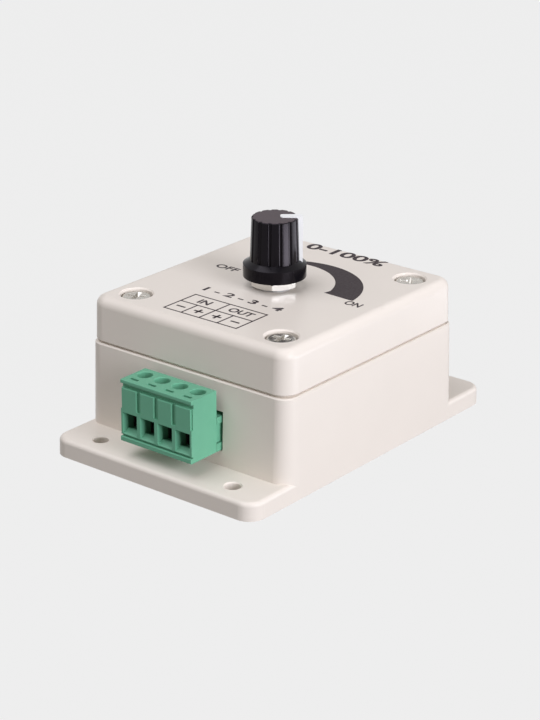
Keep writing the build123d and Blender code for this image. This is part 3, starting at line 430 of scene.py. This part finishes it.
def lid_screws():
    """The four screws as one mesh, centred in the wells that the solids' box gives."""
    tree, sockets = well_tree("screws_in_wells", FINISHES["nickel_screw"])
    holder = linked("lid_screws", lid_screw_mesh())
    setting = holder.modifiers.new("wells", "NODES")
    setting.node_group = tree
    reach = SCREW_HIGH - SCREW_LOW
    for label, value in (("Across", reach.x - 2 * HEAD_RADIUS),
                         ("Along", reach.y - 2 * HEAD_RADIUS),
                         ("First Turn", FIRST_TURN), ("Next Turn", NEXT_TURN)):
        setting[sockets[label]] = value
    return baked(holder)


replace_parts(new_piece("cross_head_lid_screws", lid_screws(), "enclosure",
                      FINISHES["nickel_screw"]), "lid_screws")


# Print on the lid, as a thin film of ink. Its places and sizes are in millimetres.

LID_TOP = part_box("lid")[1].z
FILM = 0.03 * MM
# the film starts a little below the lid's face, so that no gap shows under it
FILM_SINK = 0.01 * MM
# how far the outline of a letter is pushed out, as a share of the letter's size
BOLD, MEDIUM = 0.025, 0.02
LINE_THICK = 0.37


def film_from_outline(outline, name):
    """A flat closed outline on the lid's top as a film of ink."""
    shape = bmesh.new()
    face = shape.faces.new([shape.verts.new((x * MM, y * MM, LID_TOP - FILM_SINK))
                            for x, y in outline])
    raised = bmesh.ops.extrude_face_region(shape, geom=[face])
    bmesh.ops.translate(shape, vec=(0, 0, FILM + FILM_SINK),
                        verts=[v for v in raised["geom"] if isinstance(v, bmesh.types.BMVert)])
    return mesh_of(shape, name)


def film_from_text(text, left, right, baseline, cap, weight=BOLD):
    """A word set to fill a box on the lid, left to right and from its baseline to its caps."""
    curve = bpy.data.curves.new("word", "FONT")
    curve.body = text
    curve.offset = weight
    # half of a depth of 1, which is then scaled to the film
    curve.extrude = 0.5
    mesh = baked(linked("word", curve))
    low = [min(v.co[i] for v in mesh.vertices) for i in range(2)]
    high = [max(v.co[i] for v in mesh.vertices) for i in range(2)]
    across = (right - left) * MM / (high[0] - low[0])
    upward = cap * MM / (high[1] - low[1])
    middle = LID_TOP + (FILM - FILM_SINK) / 2
    for v in mesh.vertices:
        v.co = (left * MM + (v.co.x - low[0]) * across,
                baseline * MM + (v.co.y - low[1]) * upward,
                middle + v.co.z * (FILM + FILM_SINK))
    return mesh


def joined(name, meshes):
    """Several meshes as one."""
    whole = bmesh.new()
    for mesh in meshes:
        whole.from_mesh(mesh)
        bpy.data.meshes.remove(mesh)
    return mesh_of(whole, name)


def ruled_line(x0, y0, x1, y1, thick=LINE_THICK):
    """One printed line, along X or Y, as a film."""
    half = thick / 2
    return film_from_outline([(x0 - half, y0 - half), (x1 + half, y0 - half),
                              (x1 + half, y1 + half), (x0 - half, y1 + half)], "line")


# The dimming wedge lies between two circles of different centres, and runs out where they meet.
# Each circle has its centre and radius, and the angles that the wedge runs between, in degrees.
WEDGE_OUTER, WEDGE_OUTER_SPAN = (1.95, 1.37, 17.73), (6.0, 148.0)
WEDGE_INNER, WEDGE_INNER_SPAN = (-2.14, 1.69, 14.45), (138.0, 14.0)
WEDGE_FOOT, WEDGE_TOE = (11.5, 3.48), (18.88, 3.18)
WEDGE_STEPS = 72


def wedge_arc(circle, span):
    """Points along one of the wedge's circles, between two angles about its own centre."""
    x, y, radius = circle
    start, end = span
    angles = [math.radians(start + (end - start) * i / WEDGE_STEPS)
              for i in range(WEDGE_STEPS + 1)]
    return [(x + radius * math.cos(a), y + radius * math.sin(a)) for a in angles]


wedge = film_from_outline([WEDGE_FOOT, WEDGE_TOE] + wedge_arc(WEDGE_OUTER, WEDGE_OUTER_SPAN)
                          + wedge_arc(WEDGE_INNER, WEDGE_INNER_SPAN), "wedge")
new_piece("print_wedge", wedge, "enclosure", INK)

# each word's left and right ends, its baseline and the height of its caps
words = [
    film_from_text("0-100%", -11.6, 10.8, 25.5, 3.9),
    film_from_text("OFF", -19.2, -12.9, 1.5, 2.3, MEDIUM),
    film_from_text("ON", 18.9, 23.1, 0.5, 2.4, MEDIUM),
]
new_piece("print_legend", joined("print_legend", words), "enclosure", INK)

TABLE_LEFT, TABLE_CENTRE, TABLE_RIGHT = -10.1, 0, 10.55
TABLE_LOW, TABLE_MIDDLE, TABLE_HIGH = -26.35, -20.7, -15.65
TABLE_CELL = 5.15
lines = [ruled_line(TABLE_LEFT, level, TABLE_RIGHT, level)
         for level in (TABLE_LOW, TABLE_MIDDLE, TABLE_HIGH)]
lines += [ruled_line(side, TABLE_LOW, side, TABLE_HIGH)
          for side in (TABLE_LEFT, TABLE_RIGHT, TABLE_CENTRE)]
lines += [ruled_line(side, TABLE_LOW, side, TABLE_MIDDLE) for side in (-TABLE_CELL, TABLE_CELL)]
new_piece("print_table", joined("print_table", lines), "enclosure", INK)

SIGN_HALF, SIGN_THICK, SIGN_LEVEL = 0.95, 0.55, -23.5
SIGNS = ((-7.6, "-"), (-2.5, "+"), (2.7, "+"), (7.9, "-"))
labels = [
    film_from_text("IN", -6.7, -3.5, -19.5, 2.4),
    film_from_text("OUT", 1.9, 8.5, -19.3, 2.4),
    film_from_text("1 - 2 - 3 - 4", -11.0, 11.2, -12.5, 2.4),
]
for centre, sign in SIGNS:
    labels.append(ruled_line(centre - SIGN_HALF, SIGN_LEVEL, centre + SIGN_HALF, SIGN_LEVEL,
                             SIGN_THICK))
    if sign == "+":
        labels.append(ruled_line(centre, SIGN_LEVEL - SIGN_HALF, centre, SIGN_LEVEL + SIGN_HALF,
                                 SIGN_THICK))
new_piece("print_labels", joined("print_labels", labels), "enclosure", INK)


# Studio: pale floor, soft light from the right and above, and the photograph's camera

BACKDROP, BACKDROP_STRENGTH = linear("efefef"), 1.0
ROOM_LIGHT, ROOM_STRENGTH = linear("fff9ec"), 0.21
LAMP_COLOUR = linear("f4f6ff")[:3]
# how strongly the floor glows to the eye, and how much of what is seen of it is that glow: the
# rest is the matt floor, which keeps the object's shadow
FLOOR_GLOW, FLOOR_SHARE = 1.03, 0.95
FLOOR_SPECK_MM = 40.0
FLOOR_HALF = 2.5
# just under the object, so that the two don't share a plane
FLOOR_LEVEL = -0.05 * MM


def seen_ray(tree):
    """1 on rays that show a surface to the eye, straight or by metal, gloss or glass, else 0."""
    path = put(tree, "ShaderNodeLightPath")
    mirrored = put(tree, "ShaderNodeMath", {0: path.outputs["Is Camera Ray"],
                                            1: path.outputs["Is Glossy Ray"]},
                   operation="MAXIMUM")
    return put(tree, "ShaderNodeMath", {0: mirrored.outputs[0],
                                        1: path.outputs["Is Transmission Ray"]},
               operation="MAXIMUM").outputs[0]


def pale_floor(name):
    """Matt pale sweep: the backdrop's own grey to the eye, with part of the object's shadow."""
    material, tree, place = start_material(name)
    tint = clouded(tree, place, FLOOR_SPECK_MM, SMOOTH, "7c7a78", "787674")[1]
    matt = put(tree, "ShaderNodeBsdfDiffuse", {"Color": tint})
    glow = put(tree, "ShaderNodeEmission", {"Color": BACKDROP, "Strength": FLOOR_GLOW})
    share = put(tree, "ShaderNodeMath", {0: seen_ray(tree), 1: FLOOR_SHARE}, operation="MULTIPLY")
    seen = put(tree, "ShaderNodeMixShader", {0: share.outputs[0], 1: matt.outputs[0],
                                             2: glow.outputs[0]})
    put(tree, "ShaderNodeOutputMaterial", {"Surface": seen.outputs[0]})
    return material


floor_corners = [(x * FLOOR_HALF, y * FLOOR_HALF, FLOOR_LEVEL)
                 for x, y in ((-1, -1), (1, -1), (1, 1), (-1, 1))]
floor_mesh = bpy.data.meshes.new("floor")
floor_mesh.from_pydata(floor_corners, [], [(0, 1, 2, 3)])
floor_mesh.materials.append(pale_floor("matt_pale_sweep"))
linked("floor", floor_mesh)

world = bpy.data.worlds.new("studio")
bpy.context.scene.world = world
world.use_nodes = True
sky = world.node_tree
sky.nodes.clear()
room = put(sky, "ShaderNodeBackground", {"Color": ROOM_LIGHT, "Strength": ROOM_STRENGTH})
shown = put(sky, "ShaderNodeBackground", {"Color": BACKDROP, "Strength": BACKDROP_STRENGTH})
choice = put(sky, "ShaderNodeMixShader", {0: seen_ray(sky), 1: room.outputs[0],
                                          2: shown.outputs[0]})
put(sky, "ShaderNodeOutputWorld", {"Surface": choice.outputs[0]})

# the points that the lamps are turned towards
CASE_MIDDLE, KNOB_MIDDLE = (0, 0, 0.02), (0, 0, 0.044)


def soft_box(name, place, aim, size, watts, only_mirrored=False):
    """A rectangular soft light, in metres and watts, turned towards a point. One that is only
    mirrored shows as a reflection and adds no other light."""
    lamp = bpy.data.lights.new(name, "AREA")
    lamp.shape = "RECTANGLE"
    lamp.size, lamp.size_y = size
    lamp.energy = watts
    lamp.color = LAMP_COLOUR
    holder = linked(name, lamp)
    holder.location = place
    holder.rotation_euler = (Vector(aim) - Vector(place)).to_track_quat("-Z", "Y").to_euler()
    if only_mirrored:
        holder.visible_camera = holder.visible_diffuse = False


soft_box("right_box", place=(0.95, -0.17, 0.30), aim=CASE_MIDDLE, size=(0.46, 0.56), watts=10.5)
soft_box("top_box", place=(-0.26, -0.30, 0.90), aim=CASE_MIDDLE, size=(1.0, 1.0), watts=7.0)
# low strips to the right of the case, which the knob's polished panels mirror
soft_box("knob_strip", place=(0.099, 0.016, 0.016), aim=KNOB_MIDDLE, size=(0.07, 0.022),
         watts=0.06, only_mirrored=True)
soft_box("far_strip", place=(0.062, 0.079, 0.016), aim=KNOB_MIDDLE, size=(0.045, 0.022),
         watts=0.011, only_mirrored=True)

# Camera solved from the photograph's straight edges, with its angles in degrees
CAMERA_AZIMUTH, CAMERA_ELEVATION, CAMERA_ROLL = 38.83, 21.83, 0.19
CAMERA_TARGET = Vector((13.175, -17.952, 25.387)) * MM
CAMERA_DISTANCE = 461.94 * MM
FOCAL_PIXELS, IMAGE_HEIGHT, SENSOR = 2114.52, 720, 36.0
NEAR_CLIP, FAR_CLIP = 0.01, 10.0

azimuth, elevation = math.radians(CAMERA_AZIMUTH), math.radians(CAMERA_ELEVATION)
back = Vector((math.sin(azimuth) * math.cos(elevation), -math.cos(azimuth) * math.cos(elevation),
               math.sin(elevation)))
right = Vector((math.cos(azimuth), math.sin(azimuth), 0))
stance = Matrix((right, back.cross(right), back)).transposed().to_4x4()
lens = bpy.data.cameras.new("photo_camera")
lens.sensor_width = SENSOR
lens.lens = FOCAL_PIXELS * SENSOR / IMAGE_HEIGHT
lens.clip_start, lens.clip_end = NEAR_CLIP, FAR_CLIP
camera = linked("photo_camera", lens)
camera.matrix_world = (Matrix.Translation(CAMERA_TARGET + back * CAMERA_DISTANCE) @ stance
                       @ Matrix.Rotation(math.radians(CAMERA_ROLL), 4, "Z"))
bpy.context.scene.camera = camera
bpy.context.scene.view_settings.view_transform = "Standard"
